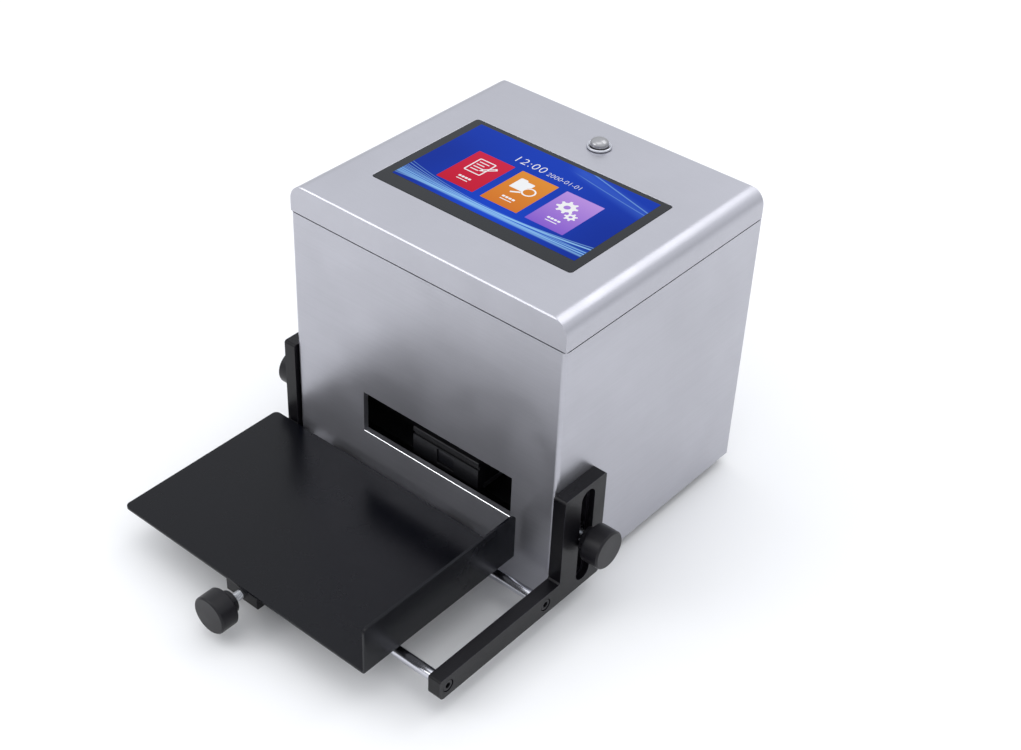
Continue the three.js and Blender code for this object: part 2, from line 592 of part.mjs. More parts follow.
// ---- scanning print carriage ----
function railAndDrive() {
  const g = section('scan_axis');
  // bridge folded from thick sheet: flat top with two legs standing on the base
  let beam = box(-106, 106, -72, -18, BEAM_TOP - 3, BEAM_TOP);
  beam = beam.add(box(-106, 106, -72, -69, SHEET + GAP, BEAM_TOP));
  beam = beam.add(box(-106, 106, -21, -18, SHEET + GAP, BEAM_TOP));
  piece(g, 'rail_bridge', 'zinc_steel', beam);

  const z = BEAM_TOP + GAP;
  const rail = polygon([
    [RAIL_Y - 6, z], [RAIL_Y + 6, z], [RAIL_Y + 6, z + 3.2], [RAIL_Y + 4.8, z + 4.4], [RAIL_Y + 6, z + 5.6],
    [RAIL_Y + 6, z + 8], [RAIL_Y - 6, z + 8], [RAIL_Y - 6, z + 5.6], [RAIL_Y - 4.8, z + 4.4], [RAIL_Y - 6, z + 3.2],
  ]);
  let bar = extrude(rail, 'x', -RAIL_LEN / 2, RAIL_LEN / 2);
  for (let i = 0; i < 6; i += 1) {
    bar = bar.subtract(rod(1.8, 'z', z - 1, z + 9, -87.5 + i * 35, RAIL_Y, 10));
  }
  piece(g, 'linear_rail', 'chrome_steel', bar);

  // motor bracket and idler bracket: L plates standing behind the carriage
  const py = 10;
  let mount = box(-110, -66, py, py + 3, SHEET + GAP, 76);
  mount = mount.add(box(-110, -66, py, py + 26, SHEET + GAP, SHEET + GAP + 3));
  mount = mount.subtract(rod(11.3, 'y', py - 1, py + 4, PULLEY_Z, MOTOR_X, 24));
  piece(g, 'motor_bracket', 'zinc_steel', mount);

  let motor = extrude(polygon([
    [-21.1, -17], [-17, -21.1], [17, -21.1], [21.1, -17], [21.1, 17], [17, 21.1], [-17, 21.1], [-21.1, 17],
  ]), 'y', py + 3 + GAP, py + 41);
  motor = motor.add(rod(11, 'y', py + 1.2, py + 4, 0, 0, 24));
  motor = motor.subtract(rod(2.8, 'y', py, py + 20, 0, 0, 16));
  piece(g, 'stepper_motor', 'black_plastic', motor, at(MOTOR_X, 0, PULLEY_Z));

  let idler = box(IDLER_X - 9, IDLER_X + 9, py, py + 3, SHEET + GAP, 66);
  idler = idler.add(box(IDLER_X - 9, IDLER_X + 9, py, py + 14, SHEET + GAP, SHEET + GAP + 3));
  idler = idler.add(rod(2.5, 'y', -1.5, py + 1, PULLEY_Z, IDLER_X, 24));
  piece(g, 'idler_bracket', 'zinc_steel', idler);

  const pulley = (bore) => {
    let p = rod(PULLEY_R - BELT_T / 2 - GAP, 'y', BELT_Y - 3.6, BELT_Y + 3.6, 0, 0, 24);
    p = p.add(rod(8.2, 'y', BELT_Y - 4.6, BELT_Y - 3.4, 0, 0, 24));
    p = p.add(rod(8.2, 'y', BELT_Y + 3.4, BELT_Y + 4.6, 0, 0, 24));
    if (bore > 0) p = p.subtract(rod(bore, 'y', BELT_Y - 6, BELT_Y + 6, 0, 0, 16));
    return p;
  };
  const drive = pulley(0).add(rod(2.5, 'y', BELT_Y, py + 19, 0, 0, 16));
  piece(g, 'motor_pulley', 'aluminium_plain', drive, at(MOTOR_X, 0, PULLEY_Z));
  piece(g, 'idler_pulley', 'aluminium_plain', pulley(2.5 + GAP), at(IDLER_X, 0, PULLEY_Z));

  const loop = (r) => {
    const s = new THREE.Shape();
    s.absarc(PULLEY_Z, MOTOR_X, r, 0, -Math.PI, true);
    s.absarc(PULLEY_Z, IDLER_X, r, Math.PI, 0, true);
    return s;
  };
  const outer = extrude(loop(PULLEY_R + BELT_T / 2), 'y', BELT_Y - BELT_W / 2, BELT_Y + BELT_W / 2, 14);
  const hole = extrude(loop(PULLEY_R - BELT_T / 2), 'y', BELT_Y - BELT_W, BELT_Y + BELT_W, 14);
  piece(g, 'drive_belt', 'rubber_black', outer.subtract(hole));
}

function carriage() {
  const g = section('carriage');
  const z = BEAM_TOP + GAP;
  const hx = HEAD_W / 2;
  const c = GAP;
  const block = polygon([
    [-13.5, z + 1.6], [-6 - c, z + 1.6], [-6 - c, z + 3.2 - c / 2], [-4.8 - c, z + 4.4],
    [-6 - c, z + 5.6 + c / 2], [-6 - c, z + 8 + c], [6 + c, z + 8 + c], [6 + c, z + 5.6 + c / 2],
    [4.8 + c, z + 4.4], [6 + c, z + 3.2 - c / 2], [6 + c, z + 1.6], [13.5, z + 1.6],
    [13.5, z + 12.4], [12.5, z + 13.4], [-12.5, z + 13.4], [-13.5, z + 12.4],
  ]);
  piece(g, 'rail_block', 'steel_bright', extrude(block, 'x', -17.3, 17.3), at(HEAD_X, RAIL_Y, 0));

  // carriage plate with the belt clamp at its rear edge
  const p0 = z + 13.4 + GAP;
  const p1 = p0 + 4;
  const low = PULLEY_Z - PULLEY_R;
  let plate = box(-hx, hx, -84, -9, p0, p1);
  plate = plate.add(box(-9, 9, -10, BELT_Y + 4, p0 - 1.2, low - BELT_T / 2 - GAP));
  plate = plate.add(box(-9, 9, -8, BELT_Y - BELT_W / 2 - 0.5, p0, low + 4));
  plate = plate.add(box(-9, 9, -8, BELT_Y + 3.2, low + BELT_T / 2 + GAP, low + 4));
  piece(g, 'carriage_plate', 'aluminium_plain', plate, at(HEAD_X, 0, 0));

  // cartridge holder: stepped nose block facing the window, pocket open at the top
  const h0 = p1 + GAP;
  let holder = box(-hx, hx, -86, -10, h0, h0 + 2.5);
  let nose = extrude(rounded(-92, -85, h0, 68, [1, 0, 0, 1]), 'x', -NOSE_W / 2, NOSE_W / 2, 4);
  nose = nose.subtract(box(-NOSE_W, NOSE_W, -93, -90.2, 61.6, 64.2));
  holder = holder.add(nose);
  holder = holder.add(box(-hx, hx, -86, -83.5, h0, 98));
  holder = holder.add(box(-hx, -hx + 2.5, -86, -10, h0, 92));
  holder = holder.add(box(hx - 2.5, hx, -86, -10, h0, 92));
  holder = holder.add(box(-16, -13, -86, -10, h0, 98));
  holder = holder.add(box(13, 16, -86, -10, h0, 98));
  holder = holder.add(box(-16, 16, -12.5, -10, h0, 98));
  for (const side of [-1, 1]) {
    const x0 = side < 0 ? -16 : 12;
    holder = holder.add(box(x0, x0 + 4, -12.5, -2, 84, 118));
    holder = holder.subtract(rod(2.8, 'x', x0 - 1, x0 + 5, -6, 113, 16));
  }
  holder = holder.subtract(box(-7.4, 7.4, -95, -80, h0 + 3.3, 60.6));
  piece(g, 'head_holder', 'black_plastic', holder, at(HEAD_X, 0, 0));

  // ink cartridge with nozzle snout to the front and a grip rib on top
  let ink = extrude(rounded(-82.9, -13.2, h0 + 3, 108, 2), 'x', -12.4, 12.4, 4);
  ink = ink.add(extrude(polygon([[-84, h0 + 3.6], [-80, h0 + 3.6], [-80, 60.3], [-84, 60.3]]), 'x', -7.1, 7.1));
  ink = ink.add(extrude(polygon([[-91, h0 + 4.6], [-83, h0 + 3.6], [-83, 60.3], [-91, 59.3]]), 'x', -7.1, 7.1));
  ink = ink.add(extrude(rounded(-78, -70, 104, 113, 1.5), 'x', -9, 9, 4));
  piece(g, 'ink_cartridge', 'ink_blue', ink, at(HEAD_X, 0, 0));

  // latch lever on two trunnions, closed down on the cartridge
  let latch = rod(4, 'x', -11.6, 11.6, 0, 0, 20);
  latch = latch.add(rod(2.5, 'x', -15.6, 15.6, 0, 0, 16));
  latch = latch.add(box(-8, 8, -50, 0, -1.5, 1.5));
  latch = latch.add(extrude(polygon([[-58, 5], [-56, 6.5], [-44, 1.4], [-46, -1.4], [-50, -1.5]]), 'x', -8, 8));
  latch = latch.add(extrude(polygon([[-30, -4.4], [-24, -4.4], [-22, 0], [-32, 0]]), 'x', -5, 5));
  piece(g, 'latch_lever', 'latch_grey', latch, at(HEAD_X, -6, 113));
}

caseBody();
electronics();
lid();
hinges();
trayFrame();
tray();
knobs();
railAndDrive();
carriage();

// origin at the middle of the underside of the whole machine
group.updateMatrixWorld(true);
const extent = new THREE.Box3().setFromObject(group, true);
group.position.set(
  -(extent.min.x + extent.max.x) / 2,
  -(extent.min.y + extent.max.y) / 2,
  -extent.min.z,
);

export default group;
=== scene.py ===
"""Desktop date code inkjet printer: materials, added detail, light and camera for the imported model."""

import json
import math

import bmesh
import bpy
from mathutils import Matrix, Vector


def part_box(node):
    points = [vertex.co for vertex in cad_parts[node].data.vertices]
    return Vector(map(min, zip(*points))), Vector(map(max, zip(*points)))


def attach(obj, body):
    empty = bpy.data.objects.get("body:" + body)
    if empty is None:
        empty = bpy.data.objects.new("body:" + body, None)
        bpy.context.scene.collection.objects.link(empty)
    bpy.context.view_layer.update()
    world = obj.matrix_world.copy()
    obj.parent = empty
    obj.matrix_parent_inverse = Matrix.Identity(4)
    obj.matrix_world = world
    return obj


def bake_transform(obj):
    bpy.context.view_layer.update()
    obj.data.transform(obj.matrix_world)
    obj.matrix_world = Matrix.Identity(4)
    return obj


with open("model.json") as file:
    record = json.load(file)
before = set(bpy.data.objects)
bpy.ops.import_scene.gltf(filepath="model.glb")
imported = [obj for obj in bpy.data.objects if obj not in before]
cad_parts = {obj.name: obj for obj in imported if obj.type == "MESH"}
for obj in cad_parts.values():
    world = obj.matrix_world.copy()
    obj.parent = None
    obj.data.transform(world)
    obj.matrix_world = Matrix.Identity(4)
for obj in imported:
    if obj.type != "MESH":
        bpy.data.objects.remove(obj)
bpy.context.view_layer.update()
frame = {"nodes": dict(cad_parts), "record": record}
NODES = frame["nodes"]

MM = 0.001
SHIFT = Vector((0.0, 80.8, 8.0))  # machine drawing origin to row frame, in millimetres


def row(x, y, z):
    """A point of the machine drawing, in millimetres, as metres in the row frame."""
    return (Vector((x, y, z)) + SHIFT) * MM


# places taken from the machine drawing, in millimetres
REAR_FACE = 102.4  # outside of the rear panel
HINGE_FACE = REAR_FACE + 1.8  # outside of the hinge leaves
BOARD_TOP = 11.6  # upper face of the circuit boards
WINDOW_X = (-51.3, 79.1)  # left and right side of the print window
CASE_INSIDE_LOW = (-113.4, -98.3, -0.5)
CASE_INSIDE_HIGH = (113.4, 100.2, 199.3)
CARTRIDGE_NOSE = -80.0  # y where the cartridge's dark nozzle end begins
BUTTON_SHADE_TOP = 222.9  # z below which the power button's cap is painted dark, as painted shade in the gap to its ring
SIDE_HUB = 125.2  # x where the studs of the side knobs enter their hubs
FRONT_HUB = -251.2  # y where the front knob's stud enters its hub
FRONT_STUD = (-25.4, 14.0)  # x and z of the front knob's axis
GLASS_TOP = 220.85  # upper face of the cover glass with the lid shut
LAYER = 0.08  # thickness of one layer of the screen picture
SCREEN = (-75.7, 75.9, -47.9, 40.6)  # lit area: x0, x1, y0, y1
UP, REARWARD = (0, 0, 1), (0, 1, 0)


# ---------------------------------------------------------------- materials


class Shader:
    """A Principled material with short helpers for adding nodes. Its patterns are laid in the row frame."""

    def __init__(self, name):
        self.mat = bpy.data.materials.new(name)
        self.mat.use_nodes = True
        self.tree = self.mat.node_tree
        self.bsdf = self.tree.nodes["Principled BSDF"]
        self.coords = self.add("ShaderNodeTexCoord").outputs["Object"]

    def add(self, kind, **values):
        node = self.tree.nodes.new(kind)
        for key, value in values.items():
            setattr(node, key, value)
        return node

    def put(self, socket, value):
        if isinstance(value, bpy.types.NodeSocket):
            self.tree.links.new(value, socket)
        else:
            socket.default_value = value

    def math(self, operation, a, b=0.0, c=0.0, clamp=False):
        node = self.add("ShaderNodeMath", operation=operation, use_clamp=clamp)
        for socket, value in zip(node.inputs, (a, b, c)):
            self.put(socket, value)
        return node.outputs[0]

    def vector(self, operation, a, b=(0, 0, 0)):
        node = self.add("ShaderNodeVectorMath", operation=operation)
        self.put(node.inputs[0], a)
        self.put(node.inputs[1], b)
        return node

    def ramp(self, value, low, high, to_low=0.0, to_high=1.0, smooth=True):
        kind = "SMOOTHSTEP" if smooth else "LINEAR"
        node = self.add("ShaderNodeMapRange", interpolation_type=kind)
        for socket, v in zip(node.inputs, (value, low, high, to_low, to_high)):
            self.put(socket, v)
        return node.outputs[0]

    def mix(self, factor, a, b):
        node = self.add("ShaderNodeMix", data_type="RGBA")
        self.put(node.inputs[0], factor)
        self.put(node.inputs[6], a)
        self.put(node.inputs[7], b)
        return node.outputs[2]

    def noise(self, scale, detail=3.0, stretch=(1, 1, 1), offset=(0, 0, 0)):
        mapping = self.add("ShaderNodeMapping")
        self.put(mapping.inputs["Vector"], self.coords)
        self.put(mapping.inputs["Location"], offset)
        self.put(mapping.inputs["Scale"], stretch)
        node = self.add("ShaderNodeTexNoise")
        self.put(node.inputs["Vector"], mapping.outputs[0])
        self.put(node.inputs["Scale"], scale)
        self.put(node.inputs["Detail"], detail)
        return node.outputs["Fac"]

    def edges(self, radius):
        """1 along convex and concave edges, 0 on flat faces."""
        bevel = self.add("ShaderNodeBevel", samples=6)
        self.put(bevel.inputs["Radius"], radius)
        normal = self.add("ShaderNodeNewGeometry").outputs["Normal"]
        dot = self.vector("DOT_PRODUCT", bevel.outputs[0], normal).outputs["Value"]
        return self.ramp(dot, 0.995, 0.86, 0.0, 1.0)

    def bump(self, height, strength, distance):
        node = self.add("ShaderNodeBump")
        self.put(node.inputs["Strength"], strength)
        self.put(node.inputs["Distance"], distance)
        self.put(node.inputs["Height"], height)
        self.put(self.bsdf.inputs["Normal"], node.outputs[0])

    def set(self, **values):
        for key, value in values.items():
            self.put(self.bsdf.inputs[key.replace("_", " ")], value)


def rgb(r, g, b):
    """A colour given as 8-bit sRGB, made linear."""
    linear = [(c / 255 / 12.92) if c < 10 else ((c / 255 + 0.055) / 1.055) ** 2.4 for c in (r, g, b)]
    return (*linear, 1.0)


def surface(name, colour, rough, metal=0.0, vary=0.12, grain=900.0, grain_bump=0.08, spread=0.06,
            stretch=(1, 1, 1), edge_wear_and_highlight=0.25, edge_wear_and_highlight_colour=None, edge_wear_and_highlight_radius=0.0006, coat=0.0, specular=0.5,
            second=None):
    """A worn manufactured surface: blotches, fine grain, uneven gloss, and lighter edges that are partly
    rubbed wear and partly painted highlight.

    second is (mask, colour, metal, rough): another finish wherever mask(shader) gives 1.
    """
    s = Shader(name)
    blotch = s.noise(14.0, 4.0)
    fine = s.noise(grain, 2.0, stretch)
    shade = s.ramp(blotch, 0.3, 0.7, 1.0 - vary, 1.0 + vary * 0.5)
    shade = s.math("MULTIPLY", shade, s.ramp(fine, 0.25, 0.75, 1.0 - vary * 0.35, 1.0 + vary * 0.35))
    tinted = s.vector("SCALE", colour[:3])
    s.put(tinted.inputs["Scale"], shade)
    # convex and concave edges are lightened: partly rubbed wear, partly painted highlight along the edges
    edge = s.math("MULTIPLY", s.edges(edge_wear_and_highlight_radius), s.ramp(s.noise(240.0, 3.0), 0.3, 0.62, 0.35, 1.0))
    edge = s.math("MULTIPLY", edge, edge_wear_and_highlight)
    worn_and_highlit = edge_wear_and_highlight_colour or tuple(min(1.0, c * 1.8 + 0.03) for c in colour[:3]) + (1.0,)
    finish = s.mix(edge, tinted.outputs[0], worn_and_highlit)
    gloss = s.ramp(s.noise(36.0, 5.0, offset=(3, 1, 2)), 0.3, 0.7, rough - spread, rough + spread)
    if second:
        mask, other, other_metal, other_rough = second
        where = mask(s)
        varied = s.vector("SCALE", other[:3])
        s.put(varied.inputs["Scale"], s.ramp(blotch, 0.3, 0.7, 0.85, 1.1))
        finish = s.mix(where, finish, varied.outputs[0])
        metal = s.ramp(where, 0.0, 1.0, metal, other_metal, smooth=False)
        change = s.math("SUBTRACT", other_rough, gloss)
        gloss = s.math("MULTIPLY_ADD", where, change, gloss)
    s.put(s.bsdf.inputs["Base Color"], finish)
    s.put(s.bsdf.inputs["Roughness"], gloss)
    s.bump(fine, grain_bump, 0.0004)
    s.set(Metallic=metal, Specular_IOR_Level=specular, Coat_Weight=coat, Coat_Roughness=0.08)
    return s.mat


def inside_case(s):
    """1 on surfaces inside the case, behind the folded window edges."""
    at = s.add("ShaderNodeSeparateXYZ")
    s.put(at.inputs[0], s.coords)
    low, high = row(*CASE_INSIDE_LOW), row(*CASE_INSIDE_HIGH)
    inside = s.math("COMPARE", at.outputs["X"], 0.0, high.x)
    inside = s.math("MULTIPLY", inside, s.math("GREATER_THAN", at.outputs["Y"], low.y))
    inside = s.math("MULTIPLY", inside, s.math("LESS_THAN", at.outputs["Y"], high.y))
    inside = s.math("MULTIPLY", inside, s.math("GREATER_THAN", at.outputs["Z"], low.z))
    return s.math("MULTIPLY", inside, s.math("LESS_THAN", at.outputs["Z"], high.z))


def beyond(axis, limit, sign):
    """A mask that is 1 past the limit, in drawing millimetres, along one axis."""
    def mask(s):
        at = s.add("ShaderNodeSeparateXYZ")
        s.put(at.inputs[0], s.coords)
        edge = row(limit, limit, limit)["XYZ".index(axis)]
        return s.math("GREATER_THAN" if sign > 0 else "LESS_THAN", at.outputs[axis], edge)
    return mask


# painted shade: a dark colour on the surfaces inside the case, standing in for the shade inside it
INSIDE_SHADE = (inside_case, rgb(16, 16, 19), 0.0, 0.6)


def board_material():
    """Green circuit board whose components above the board face are dark or pale."""
    s = Shader("board")
    z = s.add("ShaderNodeSeparateXYZ")
    s.put(z.inputs[0], s.coords)
    face = row(0, 0, BOARD_TOP).z
    above = s.ramp(z.outputs["Z"], face + 0.0001, face + 0.0002)
    cell = s.add("ShaderNodeTexVoronoi")
    s.put(cell.inputs["Vector"], s.coords)
    s.put(cell.inputs["Scale"], 45.0)
    part = s.mix(s.ramp(cell.outputs["Distance"], 0.35, 0.4), rgb(34, 35, 38), rgb(72, 74, 78))
    trace = s.ramp(s.noise(420.0, 1.0, (1, 6, 1)), 0.52, 0.55)
    green = s.mix(trace, rgb(20, 84, 56), rgb(34, 112, 76))
    s.put(s.bsdf.inputs["Base Color"], s.mix(above, green, part))
    s.put(s.bsdf.inputs["Roughness"], s.ramp(s.noise(60.0), 0.3, 0.7, 0.35, 0.6))
    s.bump(trace, 0.15, 0.0002)
    return s.mat


SILVER = rgb(182, 182, 189)
ZINC = (rgb(172, 175, 178), 0.9, 0.32)


def knob_material(name, mask):
    return surface(name, rgb(14, 13, 18), 0.36, vary=0.12, grain=1500.0, grain_bump=0.1, edge_wear_and_highlight=0.45,
                   edge_wear_and_highlight_colour=rgb(64, 63, 72), specular=0.3, second=(mask, *ZINC))


# the lighter edge colours given below are partly edge wear and partly painted highlight
MATERIALS = {
    "housing_silver": surface("silver_coat", SILVER, 0.34, 0.88, vary=0.05, grain=760.0, grain_bump=0.05,
                              spread=0.03, stretch=(0.03, 0.03, 1), edge_wear_and_highlight=0.5, edge_wear_and_highlight_colour=rgb(222, 222, 230),
                              edge_wear_and_highlight_radius=0.0005, second=INSIDE_SHADE),
    "black_coated": surface("black_coat", rgb(8, 9, 15), 0.26, vary=0.06, grain=1300.0, grain_bump=0.03,
                            spread=0.02, edge_wear_and_highlight=0.3, edge_wear_and_highlight_colour=rgb(46, 46, 54), specular=0.2),
    "black_anodised": surface("black_anodised", rgb(11, 10, 14), 0.33, vary=0.1, grain=1700.0, grain_bump=0.1,
                              edge_wear_and_highlight=0.45, edge_wear_and_highlight_colour=rgb(70, 68, 78), specular=0.22),
    "black_plastic": surface("black_plastic", rgb(17, 17, 20), 0.45, vary=0.15, grain=1100.0, grain_bump=0.12,
                             specular=0.4),
    "knob_plastic": knob_material("knob_front", beyond("Y", FRONT_HUB, 1)),
    "rubber_black": surface("rubber", rgb(20, 20, 21), 0.8, vary=0.2, grain=800.0, grain_bump=0.3, edge_wear_and_highlight=0.2,
                            specular=0.3),
    "chrome_steel": surface("chrome", rgb(206, 207, 214), 0.17, 1.0, vary=0.03, grain=1800.0, grain_bump=0.01,
                            spread=0.03, edge_wear_and_highlight=0.0),
    "steel_bright": surface("bright_steel", rgb(176, 178, 184), 0.24, 1.0, vary=0.06, grain=1600.0,
                            grain_bump=0.05, edge_wear_and_highlight=0.2),
    "dark_steel": surface("black_oxide", rgb(30, 30, 34), 0.34, 0.6, vary=0.15, grain=1500.0, edge_wear_and_highlight=0.4,
                          edge_wear_and_highlight_colour=rgb(96, 96, 102)),
    "zinc_steel": surface("zinc", rgb(160, 163, 168), 0.38, 0.9, vary=0.12, grain=700.0, grain_bump=0.06,
                          second=INSIDE_SHADE),
    "aluminium_plain": surface("machined_aluminium", rgb(150, 152, 157), 0.36, 0.95, vary=0.06, grain=1400.0,
                               stretch=(0.08, 1, 1)),
    "glass_dark": surface("bezel_glass", rgb(10, 15, 21), 0.14, vary=0.05, specular=0.26, grain=600.0,
                          grain_bump=0.0, spread=0.03, edge_wear_and_highlight=0.2, edge_wear_and_highlight_colour=rgb(120, 124, 130)),
    "panel_grey": surface("screen_can", rgb(120, 124, 130), 0.45, 0.5, vary=0.08),
    "board_green": board_material(),
    "ink_blue": surface("cartridge_shell", rgb(52, 74, 112), 0.4, vary=0.08, grain=1000.0,
                        second=(beyond("Y", CARTRIDGE_NOSE, -1), rgb(20, 20, 24), 0.0, 0.35)),
    "latch_grey": surface("latch_plastic", rgb(136, 141, 148), 0.45, vary=0.08, grain=1000.0,
                          grain_bump=0.15),
}
# the lighter edge colour of the hood is partly edge wear and partly painted highlight
NODE_MATERIALS = {
    "lid_cover": surface("silver_hood", SILVER, 0.32, 0.88, vary=0.03, grain=1500.0, grain_bump=0.06,
                         spread=0.03, stretch=(0.05, 1, 0.05), edge_wear_and_highlight=0.5, edge_wear_and_highlight_colour=rgb(222, 222, 230),
                         edge_wear_and_highlight_radius=0.0005),
    "knob_right": knob_material("knob_right", beyond("X", SIDE_HUB, -1)),
    "knob_left": knob_material("knob_left", beyond("X", -SIDE_HUB, 1)),
    # painted shade: the button cap is dark below its lower line, for the shade in the gap between cap and
    # ring
    "button_cap": surface("button_cap", rgb(168, 168, 170), 0.3, 1.0, vary=0.08, edge_wear_and_highlight=0.2,
                          second=(beyond("Z", BUTTON_SHADE_TOP, -1), rgb(22, 18, 20), 0.3, 0.3)),
}

SLOT_OF = {entry["node"]: entry["material_slot"] for entry in frame["record"]["subparts"]}

# edge rounding in millimetres, where it is not the usual 0.2
BEVEL = {
    "body_shell": 0.35, "lid_cover": 0.4, "tray_plate": 0.3, "bracket_left": 0.9, "bracket_right": 0.9,
    "knob_left": 0.35, "knob_right": 0.35, "knob_front": 0.35, "head_holder": 0.4, "touch_glass": 0.25,
}


def dress(obj, material, bevel=0.2):
    """Rounds the edges of a CAD node for the render and gives it its material."""
    obj.data.materials.clear()
    obj.data.materials.append(material)
    for polygon in obj.data.polygons:
        polygon.use_smooth = True
        polygon.material_index = 0
    weld = obj.modifiers.new("weld", "WELD")
    weld.merge_threshold = 2e-6
    flat = obj.modifiers.new("merge_flats", "DECIMATE")
    flat.decimate_type = "DISSOLVE"
    flat.angle_limit = math.radians(0.8)
    round_off = obj.modifiers.new("edges", "BEVEL")
    round_off.width = bevel * MM
    round_off.segments = 2
    round_off.limit_method = "ANGLE"
    round_off.angle_limit = math.radians(30)
    round_off.harden_normals = True
    round_off.use_clamp_overlap = True
    weighted = obj.modifiers.new("shading", "WEIGHTED_NORMAL")
    weighted.mode = "FACE_AREA_WITH_ANGLE"
    weighted.weight = 100
    weighted.keep_sharp = True


for node_name, node in NODES.items():
    finish = NODE_MATERIALS.get(node_name) or MATERIALS[SLOT_OF[node_name]]
    dress(node, finish, BEVEL.get(node_name, 0.2))

# ---------------------------------------------------------------- shared ways to make pieces


def add_piece(name, mesh, material, body):
    """Links a modelled piece and lets it move with the body."""
    obj = bpy.data.objects.new(name, mesh)
    bpy.context.scene.collection.objects.link(obj)
    mesh.materials.clear()
    mesh.materials.append(material)
    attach(obj, body)
    return obj


def finish_mesh(name, bm):
    """A mesh with outward normals made from the bmesh, which is freed."""
    bmesh.ops.recalc_face_normals(bm, faces=bm.faces)
    mesh = bpy.data.meshes.new(name)
    bm.to_mesh(mesh)
    bm.free()
    return mesh


def close_loops(bm, loops):
    """Joins rings of vertices into a closed skin with a cap at each end."""
    for low, high in zip(loops, loops[1:]):
        for k in range(len(low)):
            j = (k + 1) % len(low)
            bm.faces.new((low[k], low[j], high[j], high[k]))
    bm.faces.new(list(reversed(loops[0])))
    bm.faces.new(loops[-1])


def mesh_from_curve(curve, matrix):
    """The mesh of a curve or text block, moved by the matrix."""
    holder = bpy.data.objects.new("holder", curve)
    bpy.context.scene.collection.objects.link(holder)
    bpy.context.view_layer.update()
    evaluated = holder.evaluated_get(bpy.context.evaluated_depsgraph_get())
    mesh = bpy.data.meshes.new_from_object(evaluated)
    bpy.data.objects.remove(holder)
    mesh.transform(matrix)
    return mesh


# ---------------------------------------------------------------- flat artwork on the screen


def artwork(name, outlines, z, material):
    """A layer of the screen picture cut to the outlines, lists of (x, y) in drawing millimetres."""
    curve = bpy.data.curves.new(name, "CURVE")
    curve.dimensions = "2D"
    curve.fill_mode = "BOTH"
    curve.extrude = LAYER / 2 * MM
    for outline in outlines:
        spline = curve.splines.new("POLY")
        spline.points.add(len(outline) - 1)
        for point, (x, y) in zip(spline.points, outline):
            p = row(x, y, 0)
            point.co = (p.x, p.y, 0, 1)
        spline.use_cyclic_u = True
    mesh = mesh_from_curve(curve, Matrix.Translation((0, 0, row(0, 0, z + LAYER / 2).z)))
    add_piece(name, mesh, material, "lid")


def writing(name, text, x, y, size, spacing, thin):
    """Plain white digits on the screen picture, used for the clock and the date."""
    font = bpy.data.curves.new(name, "FONT")
    font.body = text
    font.size = size * MM
    font.space_character = spacing
    font.offset = -thin * MM
    font.extrude = LAYER / 2 * MM
    mesh = mesh_from_curve(font, Matrix.Translation(row(x, y, GLASS_TOP + LAYER + LAYER / 2)))
    add_piece(name, mesh, white_ink, "lid")


def round_rect(x0, x1, y0, y1, r, steps=5):
    """The outline of a rectangle with rounded corners."""
    points = []
    corners = ((x1 - r, y0 + r, -90), (x1 - r, y1 - r, 0), (x0 + r, y1 - r, 90), (x0 + r, y0 + r, 180))
    for cx, cy, start in corners:
        for k in range(steps + 1):
            a = math.radians(start + 90 * k / steps)
            points.append((cx + r * math.cos(a), cy + r * math.sin(a)))
    return points


def disc(cx, cy, r, steps=36):
    """The outline of a circle."""
    return [(cx + r * math.cos(2 * math.pi * k / steps), cy + r * math.sin(2 * math.pi * k / steps))
            for k in range(steps)]


def bar(ax, ay, bx, by, width):
    """A straight stroke from a to b as a closed outline."""
    length = math.hypot(bx - ax, by - ay)
    nx, ny = -(by - ay) / length * width / 2, (bx - ax) / length * width / 2
    return [(ax + nx, ay + ny), (ax - nx, ay - ny), (bx - nx, by - ny), (bx + nx, by + ny)]


def gear(cx, cy, inner, outer, teeth, turn=0.0):
    """The outline of a gear wheel."""
    points = []
    for k in range(teeth):
        for share, radius in ((0.0, inner), (0.16, outer), (0.42, outer), (0.58, inner)):
            a = 2 * math.pi * (k + share) / teeth + turn
            points.append((cx + radius * math.cos(a), cy + radius * math.sin(a)))
    return points


SCREEN_BLACK = (0.004, 0.004, 0.006, 1.0)


def lit(name, colour, strength, vary=0.04, rough=0.1):
    """A lit part of the screen picture under the cover glass."""
    s = Shader(name)
    shade = s.ramp(s.noise(40.0, 2.0), 0.3, 0.7, 1.0 - vary, 1.0 + vary)
    tint = s.vector("SCALE", colour[:3])
    s.put(tint.inputs["Scale"], shade)
    s.put(s.bsdf.inputs["Emission Color"], tint.outputs[0])
    s.set(Base_Color=SCREEN_BLACK, Emission_Strength=strength, Roughness=rough, Specular_IOR_Level=0.02)
    return s


def tile_material(name, low, high, y0, y1, strength):
    """A tile that shades from one colour at its front edge to another at its rear edge."""
    s = lit(name, low, strength)
    y = s.add("ShaderNodeSeparateXYZ")
    s.put(y.inputs[0], s.coords)
    blend = s.ramp(y.outputs["Y"], row(0, y0, 0).y, row(0, y1, 0).y, smooth=False)
    colour = s.mix(blend, low, high)
    s.put(s.bsdf.inputs["Emission Color"], colour)
    return s.mat


